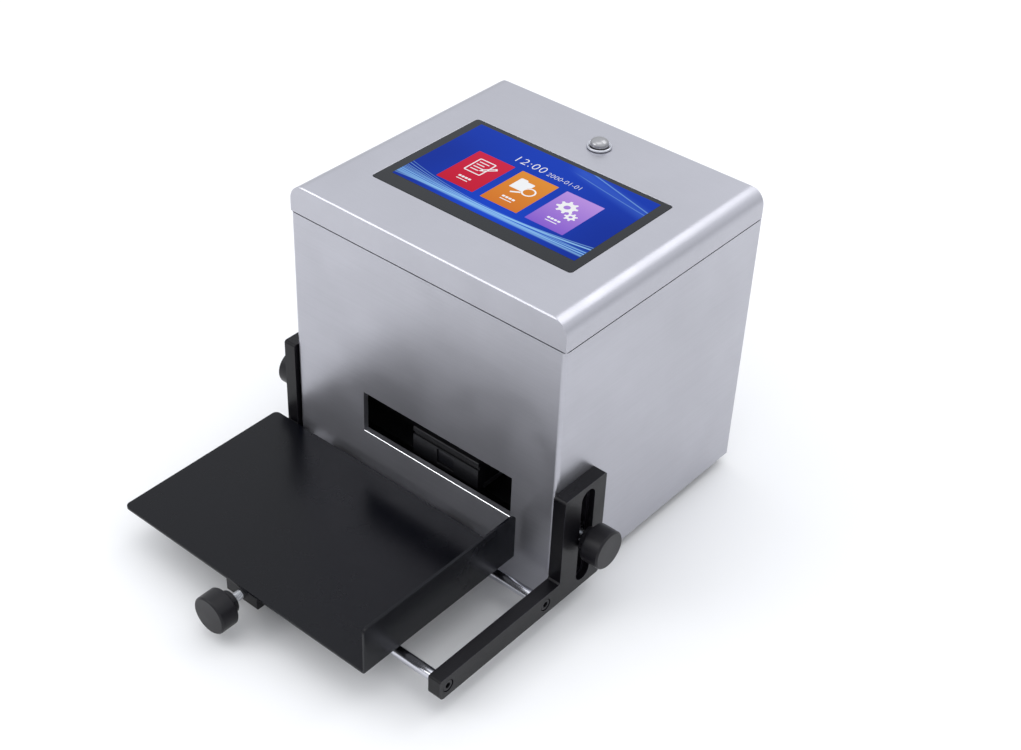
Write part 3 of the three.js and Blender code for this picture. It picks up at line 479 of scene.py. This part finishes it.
def picture_material():
    """Deep blue background with pale sweeping streaks."""
    s = Shader("screen_picture")
    axes = s.add("ShaderNodeSeparateXYZ")
    s.put(axes.inputs[0], s.coords)
    x0, x1, y0, y1 = SCREEN
    u = s.ramp(axes.outputs["X"], row(x0, 0, 0).x, row(x1, 0, 0).x, smooth=False)
    v = s.ramp(axes.outputs["Y"], row(0, y0, 0).y, row(0, y1, 0).y, smooth=False)
    middle = s.math("SUBTRACT", 1.0, s.math("ABSOLUTE", s.math("MULTIPLY_ADD", u, 2.0, -1.0)))
    glow = s.math("MULTIPLY", s.ramp(middle, 0.0, 1.0), s.ramp(v, 0.0, 1.0, 0.75, 0.25))
    colour = s.mix(glow, rgb(2, 44, 152), rgb(6, 70, 210))
    colour = s.mix(s.ramp(v, 0.45, 1.0, 0.0, 0.4), colour, rgb(14, 66, 196))

    def streak(colour, height, sag, tilt, width, amount, tone, start=0.0, end=1.0):
        # a line that sags in the middle: v = height + tilt * u - sag * u * (1 - u)
        bow = s.math("MULTIPLY", u, s.math("SUBTRACT", 1.0, u))
        line = s.math("MULTIPLY_ADD", bow, -sag, s.math("MULTIPLY_ADD", u, tilt, height))
        away = s.math("ABSOLUTE", s.math("SUBTRACT", v, line))
        strength = s.ramp(away, 0.0, width, amount, 0.0)
        span = s.math("MULTIPLY", s.ramp(u, start, start + 0.12), s.ramp(u, end - 0.1, end, 1.0, 0.0))
        return s.mix(s.math("MULTIPLY", strength, span, clamp=True), colour, tone)

    pale = rgb(150, 205, 245)
    colour = streak(colour, 0.09, 0.10, 0.03, 0.06, 0.28, rgb(70, 136, 232), -0.2, 1.2)
    for height, sag, tilt, width, amount in (
        (0.055, 0.02, 0.02, 0.02, 0.55), (0.085, 0.10, 0.02, 0.009, 0.8), (0.11, 0.16, 0.02, 0.007, 0.7),
        (0.14, 0.24, 0.04, 0.006, 0.65), (0.17, 0.30, 0.02, 0.005, 0.6), (0.20, 0.36, -0.02, 0.006, 0.55),
        (0.23, 0.42, -0.02, 0.005, 0.45), (0.07, 0.16, 0.11, 0.007, 0.6), (0.03, -0.06, 0.10, 0.008, 0.45),
        (0.10, 0.06, 0.00, 0.006, 0.6), (0.125, 0.22, 0.06, 0.006, 0.55), (0.155, 0.33, 0.06, 0.005, 0.5),
    ):
        colour = streak(colour, height, sag, tilt, width, amount, pale, -0.2, 1.2)
    colour = streak(colour, 1.22, 0.0, -0.42, 0.11, 0.22, rgb(84, 134, 236), 0.5, 1.2)
    colour = streak(colour, 1.30, 0.0, -0.46, 0.009, 0.5, pale, 0.55, 1.2)
    colour = streak(colour, 1.16, 0.1, -0.36, 0.007, 0.32, pale, 0.55, 1.2)
    s.put(s.bsdf.inputs["Emission Color"], colour)
    s.put(s.bsdf.inputs["Roughness"], s.ramp(s.noise(30.0), 0.3, 0.7, 0.08, 0.14))
    s.set(Base_Color=SCREEN_BLACK, Emission_Strength=1.0, Specular_IOR_Level=0.02)
    return s.mat


white_ink = lit("screen_white", rgb(245, 247, 250), 0.95).mat
artwork("screen_picture", [round_rect(*SCREEN, 0.4)], GLASS_TOP, picture_material())

TILE_Y = (-30.8, 12.3)
# name, left edge, right edge, colour at the front edge, colour at the rear edge
tiles = (
    ("tile_edit", -52.6, -21.6, rgb(196, 18, 48), rgb(206, 30, 66)),
    ("tile_files", -15.1, 15.3, rgb(212, 118, 36), rgb(226, 144, 48)),
    ("tile_setup", 22.1, 52.7, rgb(136, 94, 208), rgb(186, 146, 226)),
)
for tile_name, x0, x1, low, high in tiles:
    paint = tile_material(tile_name + "_paint", low, high, *TILE_Y, 0.95)
    artwork(tile_name, [round_rect(x0, x1, *TILE_Y, 0.5)], GLASS_TOP + LAYER, paint)

ICON_Z = GLASS_TOP + 2 * LAYER


def icon(name, outlines):
    artwork(name, outlines, ICON_Z, white_ink)


# a ruled sheet with a pencil
icon("icon_sheet", [round_rect(-45.5, -31.5, -12.5, 5.5, 1.2),
                    round_rect(-44.6, -32.4, -11.6, 4.6, 0.7)])
for k, y in enumerate((1.6, -1.6, -4.8, -8.0)):
    icon(f"icon_sheet_line_{k}", [bar(-43.0, y, -35.0 - 1.5 * (k % 2), y, 0.8)])
icon("icon_pencil", [[(-36.2, -7.8), (-35.2, -4.6), (-28.4, 2.2), (-26.6, 0.4), (-33.4, -6.4)],
                     [(-34.6, -5.0), (-28.9, 0.8), (-28.2, 0.1), (-33.9, -5.7)]])
# a folder with a magnifying glass
icon("icon_folder", [[(-9.5, -8.5), (-9.5, 4.0), (-8.7, 4.8), (-4.2, 4.8), (-3.0, 3.2), (2.6, 3.2),
                      (3.2, 2.6), (3.2, -1.0), (1.2, -2.6), (0.2, -5.2), (0.6, -8.5)]])
icon("icon_lens", [disc(5.2, -6.2, 5.0), disc(5.2, -6.2, 3.9)])
icon("icon_lens_handle", [bar(1.2, -9.6, -4.6, -13.4, 1.5)])
# two gears
icon("icon_gear_large", [gear(34.6, -3.4, 5.6, 7.6, 8), disc(34.6, -3.4, 2.4)])
icon("icon_gear_small", [gear(43.4, -11.0, 3.2, 4.6, 7, 0.3), disc(43.4, -11.0, 1.4)])
# plain bars under the icons in place of words
DASH, DASH_PITCH, DASHES = 2.1, 2.7, 4
for k, (_, x0, x1, _, _) in enumerate(tiles):
    centre = (x0 + x1) / 2
    for j in range(DASHES):
        x = centre - 5.2 + j * DASH_PITCH
        icon(f"label_{k}_{j}", [round_rect(x, x + DASH, -21.1, -19.3, 0.4)])
    icon(f"label_{k}_rule", [bar(centre - 4.6, -23.4, centre + 4.6, -23.4, 0.7)])
writing("clock", "12:00", -29.9, 18.6, 10.8, 1.12, 0.2)
writing("date", "2000-01-01", -1.2, 18.4, 6.4, 0.98, 0.15)

# ---------------------------------------------------------------- modelled hardware


def lathe(name, rings, place, axis, material, body, segments=32):
    """A turned piece. rings are (height, radius or function of angle), along the axis from place."""
    bm = bmesh.new()
    loops = []
    for height, radius in rings:
        loop = []
        for k in range(segments):
            a = 2 * math.pi * k / segments
            r = radius(a) if callable(radius) else radius
            loop.append(bm.verts.new((r * math.cos(a) * MM, r * math.sin(a) * MM, height * MM)))
        loops.append(loop)
    close_loops(bm, loops)
    mesh = finish_mesh(name, bm)
    turn = Vector(UP).rotation_difference(Vector(axis)).to_matrix().to_4x4()
    mesh.transform(Matrix.Translation(row(*place)) @ turn)
    obj = add_piece(name, mesh, material, body)
    soften(obj)


def soften(obj, angle=32.0):
    """Smooth shading that keeps corners sharper than the angle."""
    mesh = obj.data
    for polygon in mesh.polygons:
        polygon.use_smooth = True
    bm = bmesh.new()
    bm.from_mesh(mesh)
    for edge in bm.edges:
        edge.smooth = len(edge.link_faces) == 2 and edge.calc_face_angle(0.0) < math.radians(angle)
    bm.to_mesh(mesh)
    bm.free()


def hexagon(across):
    """Outline radius of a hexagon, as a function of the angle."""
    def radius(a):
        return across / 2 / math.cos((a + math.pi / 6) % (math.pi / 3) - math.pi / 6)
    return radius


def cross(arm, half):
    """Outline radius of a plus-shaped recess, as a function of the angle."""
    def radius(a):
        near = (a + math.pi / 4) % (math.pi / 2) - math.pi / 4
        return min(arm, half / max(abs(math.sin(near)), 1e-3)) if abs(near) < 0.75 else half * 1.42
    return radius


def cross_screw(name, place, axis, r, material, body):
    """A pan head screw with a cross recess. place is the middle of its seat."""
    recess = cross(r * 0.52, r * 0.13)
    rings = [(0.0, r * 0.97), (r * 0.12, r), (r * 0.34, r * 0.9), (r * 0.5, r * 0.66), (r * 0.55, r * 0.56),
             (r * 0.55, recess), (r * 0.22, recess)]
    lathe(name, rings, place, axis, material, body, 48)


def socket_screw(name, place, axis, r, material, body):
    """A low button head screw with a hexagon socket."""
    hexed = hexagon(r * 0.85)
    rings = [(0.0, r), (r * 0.2, r), (r * 0.45, r * 0.86), (r * 0.55, r * 0.66), (r * 0.55, hexed),
             (r * 0.15, hexed)]
    lathe(name, rings, place, axis, material, body, 48)


steel = MATERIALS["steel_bright"]
black_oxide = MATERIALS["dark_steel"]

# bare metal chamfer along the lower edge of the print window
profile = ((-102.52, 50.6), (-102.52, 50.74), (-102.26, 51.0), (-101.8, 51.0), (-101.8, 50.6))
bm = bmesh.new()
close_loops(bm, [[bm.verts.new(row(x, y, z)) for y, z in profile] for x in WINDOW_X])
bare = surface("bare_edge", rgb(236, 237, 240), 0.2, 1.0, vary=0.04, grain=2200.0, grain_bump=0.03, edge_wear_and_highlight=0.0)
add_piece("window_edge", finish_mesh("window_edge", bm), bare, "housing")


def thread(name, x, z, y0, y1, core, crest, pitch, material, body):
    """A rolled screw thread along y that fades out at both ends."""
    steps = 24  # per turn
    total = int((y1 - y0) / pitch * steps)
    bm = bmesh.new()
    loops = []
    for k in range(total + 1):
        a = 2 * math.pi * k / steps
        y = y0 + (y1 - y0) * k / total
        fade = min(1.0, k / 12, (total - k) / 12)
        top = core + (crest - core) * fade
        root = core - 0.06
        outline = ((root, -0.46), (top, -0.08), (top, 0.08), (root, 0.46))
        loops.append([bm.verts.new(row(x + r * math.cos(a), y + shift * pitch, z + r * math.sin(a)))
                      for r, shift in outline])
    close_loops(bm, loops)
    obj = add_piece(name, finish_mesh(name, bm), material, body)
    soften(obj, 50.0)


thread_steel = surface("thread_steel", rgb(205, 207, 212), 0.22, 1.0, vary=0.06, grain=1800.0, edge_wear_and_highlight=0.0)
thread("front_stud_thread", *FRONT_STUD, -251.0, -243.0, 2.98, 3.26, 1.0, thread_steel, "front_knob")

# fixing screws of the hinges, the rear panel and the fan
HINGE_SCREW_PITCH = 15.0
for hinge in ("left", "right"):
    low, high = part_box(f"hinge_leaf_fixed_{hinge}")
    middle = (low.x + high.x) / 2 / MM
    for k in range(3):
        x = middle + (k - 1) * HINGE_SCREW_PITCH
        for leaf, z, body in (("fixed", 187.0, "housing"), ("lid", 210.5, "lid")):
            cross_screw(f"hinge_screw_{leaf}_{hinge}_{k}", (x, HINGE_FACE, z), REARWARD, 2.6, steel, body)
panel_screws = [(x, z) for x in (-106.5, 106.5) for z in (12, 100, 186)] + [(-20, 12), (50, 12)]
for k, (x, z) in enumerate(panel_screws):
    socket_screw(f"rear_panel_screw_{k}", (x, REAR_FACE, z), REARWARD, 2.6, black_oxide, "housing")
for k, (x, z) in enumerate(((44, 124), (76, 124), (44, 156), (76, 156))):
    cross_screw(f"fan_screw_{k}", (x, REAR_FACE, z), REARWARD, 2.4, black_oxide, "housing")

# ---------------------------------------------------------------- parts on the boards


def block(name, x0, x1, y0, y1, z0, z1, material, body, edge=0.25):
    """A rounded block given by its corners in drawing millimetres."""
    bm = bmesh.new()
    bmesh.ops.create_cube(bm, size=1.0)
    low, high = row(x0, y0, z0), row(x1, y1, z1)
    for v in bm.verts:
        v.co = [low[k] + (v.co[k] + 0.5) * (high[k] - low[k]) for k in range(3)]
    bmesh.ops.bevel(bm, geom=list(bm.edges), offset=edge * MM, segments=2, affect="EDGES", profile=0.7)
    obj = add_piece(name, finish_mesh(name, bm), material, body)
    soften(obj, 50.0)


chip_black = surface("chip_epoxy", rgb(24, 24, 27), 0.5, vary=0.12, grain=2200.0, grain_bump=0.1)
tin = surface("tinned_pins", rgb(190, 192, 196), 0.3, 1.0, vary=0.1, grain=2000.0, edge_wear_and_highlight=0.0)
connector_white = surface("connector_nylon", rgb(214, 210, 198), 0.45, vary=0.06, grain=1400.0)
cap_sleeve = surface("capacitor_sleeve", rgb(38, 46, 92), 0.35, vary=0.06, grain=1200.0)
lead_colours = {
    "red": surface("lead_red", rgb(168, 30, 32), 0.4, vary=0.08),
    "black": surface("lead_black", rgb(28, 28, 30), 0.45, vary=0.1),
}


def chip(name, x, y, w, d, z, pins):
    """A flat chip package with gull wing pins along two sides, pins joined in one comb."""
    block(name, x - w / 2, x + w / 2, y - d / 2, y + d / 2, z + 0.15, z + 1.7,
          chip_black, "housing")
    pin_path = [(0.0, 1.1), (0.5, 1.1), (0.9, 0.2), (1.5, 0.12)]  # distance out, height
    half_pin = 0.22
    bm = bmesh.new()
    step = w / (pins + 1)
    for side in (-1, 1):
        for k in range(pins):
            pin_x = x - w / 2 + step * (k + 1)
            previous = None
            for out_by, height in pin_path:
                pin_y = y + side * (d / 2 + out_by)
                pair = [bm.verts.new(row(pin_x + end * half_pin, pin_y, z + height)) for end in (-1, 1)]
                if previous:
                    bm.faces.new((previous[0], previous[1], pair[1], pair[0]))
                previous = pair
    bmesh.ops.solidify(bm, geom=list(bm.faces), thickness=0.12 * MM)
    add_piece(name + "_pins", finish_mesh(name + "_pins", bm), tin, "housing")


chips = ((66, 47, 9, 5), (26, 45, 6, 4), (-28, 60, 8, 5), (-24, 80, 12, 7), (60, 82, 6, 4))
for k, (x, y, w, d) in enumerate(chips):
    chip(f"board_chip_{k}", x, y, w, d, BOARD_TOP, max(3, int(w / 1.3)))
capacitor = [(0.2, 2.9), (0.5, 3.1), (7.6, 3.1), (8.1, 2.9), (8.3, 2.5), (8.2, 0.5)]
for k, (x, y) in enumerate(((80, 44), (88, 44), (6, 84), (-40, 82))):
    lathe(f"board_capacitor_{k}", capacitor, (x, y, BOARD_TOP), UP, cap_sleeve, "housing", 24)
SCREW_SEAT = BOARD_TOP + 0.05
for k, (x, y) in enumerate(((-52, 32), (88, 32), (-52, 84), (88, 84))):
    cross_screw(f"board_screw_{k}", (x, y, SCREW_SEAT), UP, 2.4, steel, "housing")
for k, (x, y) in enumerate(((-68, 62), (-102, 90)), start=1):
    cross_screw(f"power_board_screw_{k}", (x, y, SCREW_SEAT), UP, 2.4, steel, "housing")


def lead(name, points, radius, material):
    """A round insulated lead inside the case along a smooth path of drawing points."""
    curve = bpy.data.curves.new(name, "CURVE")
    curve.dimensions = "3D"
    curve.bevel_depth = radius * MM
    curve.bevel_resolution = 3
    curve.use_fill_caps = True
    spline = curve.splines.new("NURBS")
    spline.points.add(len(points) - 1)
    for point, p in zip(spline.points, points):
        point.co = (*row(*p), 1)
    spline.use_endpoint_u = True
    spline.order_u = 4
    spline.resolution_u = 8
    obj = add_piece(name, mesh_from_curve(curve, Matrix()), material, "housing")
    soften(obj, 60.0)


for k, colour in enumerate(("red", "black")):
    # from the socket to the power board
    dx = k * 2.2
    supply = [(-87 + dx, 90.5, 31), (-87 + dx, 86, 31), (-88 + dx, 80, 24), (-94 + dx, 76, 20),
              (-97 + dx, 72, 25.5), (-97 + dx, 69, 24.2)]
    lead(f"supply_lead_{colour}", supply, 0.8, lead_colours[colour])
    # from the power board to the main board
    link = [(-100 + 3 * k, 84, 17), (-98 + 3 * k, 78, 22), (-80 + dx, 64, 27), (-60, 56 + dx, 24),
            (-46 + dx, 58, 18), (-46 + dx, 66, 17.7)]
    lead(f"board_lead_{colour}", link, 0.8, lead_colours[colour])
for k, colour in enumerate(("red", "black")):
    # from the fan down the rear wall to the main board
    dx = k * 1.8
    fan = [(44 + dx, 92, 121), (43 + dx, 93, 112), (40 + dx, 95, 80), (38 + dx, 94, 40), (35 + dx, 84, 20),
           (34 + dx, 74, 14), (34 + dx, 71, 13.6)]
    lead(f"fan_lead_{colour}", fan, 0.7, lead_colours[colour])

# ---------------------------------------------------------------- flat cables


WIRE_PITCH = 1.27 * MM


def flat_cable_material():
    """Grey ribbon with one ridge for each wire, painted darker in the grooves between the wires and lighter
    on the ridges as painted shade.
    """
    s = Shader("flat_cable")
    at = s.add("ShaderNodeSeparateXYZ")
    s.put(at.inputs[0], s.coords)
    stripe = s.math("SINE", s.math("MULTIPLY", at.outputs["X"], 2 * math.pi / WIRE_PITCH))
    # painted shade in the grooves between the wires, lighter on the ridges
    shade = s.ramp(stripe, -0.2, 0.9)
    colour = s.mix(shade, rgb(118, 120, 124), rgb(176, 178, 180))
    dust = s.ramp(s.noise(60.0), 0.3, 0.7, 0.0, 0.25)
    s.put(s.bsdf.inputs["Base Color"], s.mix(dust, colour, rgb(96, 98, 102)))
    s.put(s.bsdf.inputs["Roughness"], s.ramp(s.noise(90.0), 0.3, 0.7, 0.4, 0.55))
    s.bump(shade, 0.3, 0.0003)
    return s.mat


FLAT_CABLE = flat_cable_material()


def smooth_path(points, steps=10):
    """A smooth line through the points, with this many steps between neighbours."""
    ends = [points[0], *points, points[-1]]
    line = []
    for k in range(len(points) - 1):
        p0, p1, p2, p3 = (Vector(p) for p in ends[k:k + 4])
        for j in range(steps):
            t = j / steps
            line.append(0.5 * (2 * p1 + (p2 - p0) * t + (2 * p0 - 5 * p1 + 4 * p2 - p3) * t * t
                               + (3 * p1 - p0 - 3 * p2 + p3) * t ** 3))
    return line + [Vector(points[-1])]


def flat_cable(name, x, width, path, thick=0.5, columns=8):
    """A ribbon whose middle line runs through the (y, z) drawing points at one x."""
    line = smooth_path(path)
    across = [x - width / 2 + width * c / columns for c in range(columns + 1)]
    bm = bmesh.new()
    loops = []
    for k, point in enumerate(line):
        along = (line[min(k + 1, len(line) - 1)] - line[max(k - 1, 0)]).normalized()
        off = Vector((-along.y, along.x)) * thick / 2
        upper, lower = point + off, point - off
        loops.append([bm.verts.new(row(px, upper.x, upper.y)) for px in across]
                     + [bm.verts.new(row(px, lower.x, lower.y)) for px in reversed(across)])
    close_loops(bm, loops)
    mesh = finish_mesh(name, bm)
    mesh.materials.append(FLAT_CABLE)
    obj = bpy.data.objects.new(name, mesh)
    bpy.context.scene.collection.objects.link(obj)
    soften(obj, 50.0)
    return obj


head_route = [(-9.4, 74), (-5, 77.5), (1.5, 85), (8, 93), (15, 93), (20, 82), (23.5, 64), (26.5, 44),
              (29.5, 31), (32.5, 21.4)]
head_cable = flat_cable("head_cable", 5.0, 13.0, head_route)
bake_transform(head_cable)
block("head_cable_plug", -2.2, 12, 30.5, 35.5, 19.7, 23.2, chip_black, "housing")
block("head_cable_clip", -2.2, 12.2, -9.7, -7.2, 71, 77, chip_black, "carriage")

screen_route = [(81.5, 14.2), (88, 20), (94, 34), (97, 60), (97.6, 120), (97.6, 178), (96.5, 196), (90, 205),
                (78, 208.2), (58, 208.4), (44, 208.3), (37, 208.4)]
screen_cable = flat_cable("screen_cable", 25.0, 14.0, screen_route)
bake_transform(screen_cable)
block("screen_cable_plug", 17, 33, 79, 84, 11.8, 15.6, connector_white, "housing")
block("screen_cable_clip", 17, 33, 33, 38.5, 207.2, 209.4, chip_black, "lid")

# ---------------------------------------------------------------- light, floor and camera

scene = bpy.context.scene
scene.view_settings.view_transform = "Standard"
scene.view_settings.look = "None"


def studio_world(low, high, tint):
    """An even surround that brightens from the horizon strength to the overhead strength."""
    world = bpy.data.worlds.new("studio")
    world.use_nodes = True
    nodes, links = world.node_tree.nodes, world.node_tree.links
    direction = nodes.new("ShaderNodeTexCoord")
    split = nodes.new("ShaderNodeSeparateXYZ")
    height = nodes.new("ShaderNodeMapRange")
    height.interpolation_type = "SMOOTHSTEP"
    for socket, value in (("From Min", 0.05), ("From Max", 0.5), ("To Min", low), ("To Max", high)):
        height.inputs[socket].default_value = value
    links.new(direction.outputs["Generated"], split.inputs[0])
    links.new(split.outputs["Z"], height.inputs["Value"])
    links.new(height.outputs[0], nodes["Background"].inputs["Strength"])
    nodes["Background"].inputs["Color"].default_value = tint
    return world


scene.world = studio_world(0.77, 1.1, (0.94, 0.96, 1.0, 1.0))


def floor_material():
    """A matt, nearly white studio floor."""
    s = Shader("studio_floor")
    shade = s.ramp(s.noise(3.0, 2.0), 0.3, 0.7, 0.876, 0.886)
    tint = s.vector("SCALE", (1.0, 1.0, 1.0))
    s.put(tint.inputs["Scale"], shade)
    s.put(s.bsdf.inputs["Base Color"], tint.outputs[0])
    s.put(s.bsdf.inputs["Roughness"], s.ramp(s.noise(20.0), 0.3, 0.7, 0.75, 0.9))
    return s.mat


FLOOR_HALF = 40.0  # metres
floor_mesh = bpy.data.meshes.new("floor")
corners = [(x * FLOOR_HALF, y * FLOOR_HALF, 0) for x, y in ((-1, -1), (1, -1), (1, 1), (-1, 1))]
floor_mesh.from_pydata(corners, [], [(0, 1, 2, 3)])
floor_mesh.materials.append(floor_material())
floor = bpy.data.objects.new("floor", floor_mesh)
scene.collection.objects.link(floor)


def softbox(name, place, target, width, height, power):
    """A rectangular area light aimed at the target, in metres and watts."""
    light = bpy.data.lights.new(name, "AREA")
    light.shape = "RECTANGLE"
    light.size = width
    light.size_y = height
    light.energy = power
    lamp = bpy.data.objects.new(name, light)
    scene.collection.objects.link(lamp)
    lamp.location = place
    aim = Vector(target) - Vector(place)
    lamp.rotation_euler = aim.to_track_quat("-Z", "Y").to_euler()


softbox("rear_light", (0.25, 1.05, 1.4), (0, 0, 0.15), 1.15, 0.6, 3.4)
softbox("front_light", (-0.9, -1.15, 1.2), (0, 0, 0.1), 0.9, 0.7, 5.0)
softbox("overhead_light", (-0.1, -0.1, 2.6), (0, 0, 0), 1.8, 1.8, 9.0)

# the camera looks down on the front right corner, a little rolled
CAMERA_AT = (586.54, -742.56, 785.43)  # drawing millimetres
LENS, SENSOR = 59.785, 36.0  # millimetres
SHIFT_X, SHIFT_Y = 0.02043, 0.01337  # of the picture, in sensor widths
AZIMUTH = math.radians(39.531)
ELEVATION = math.radians(37.677)
ROLL = math.radians(2.1525)
back = Vector((math.sin(AZIMUTH) * math.cos(ELEVATION), -math.cos(AZIMUTH) * math.cos(ELEVATION),
               math.sin(ELEVATION)))
right = (-back).cross(Vector(UP)).normalized()
up = right.cross(-back)
turned_right = right * math.cos(ROLL) + up * math.sin(ROLL)
turned_up = up * math.cos(ROLL) - right * math.sin(ROLL)
place = row(*CAMERA_AT)
camera_data = bpy.data.cameras.new("camera")
camera_data.sensor_width = SENSOR
camera_data.lens = LENS
camera_data.shift_x = SHIFT_X
camera_data.shift_y = SHIFT_Y
camera_data.clip_start = 0.01
camera = bpy.data.objects.new("camera", camera_data)
scene.collection.objects.link(camera)
camera.matrix_world = Matrix((
    (turned_right.x, turned_up.x, back.x, place.x),
    (turned_right.y, turned_up.y, back.y, place.y),
    (turned_right.z, turned_up.z, back.z, place.z),
    (0, 0, 0, 1),
))
scene.camera = camera
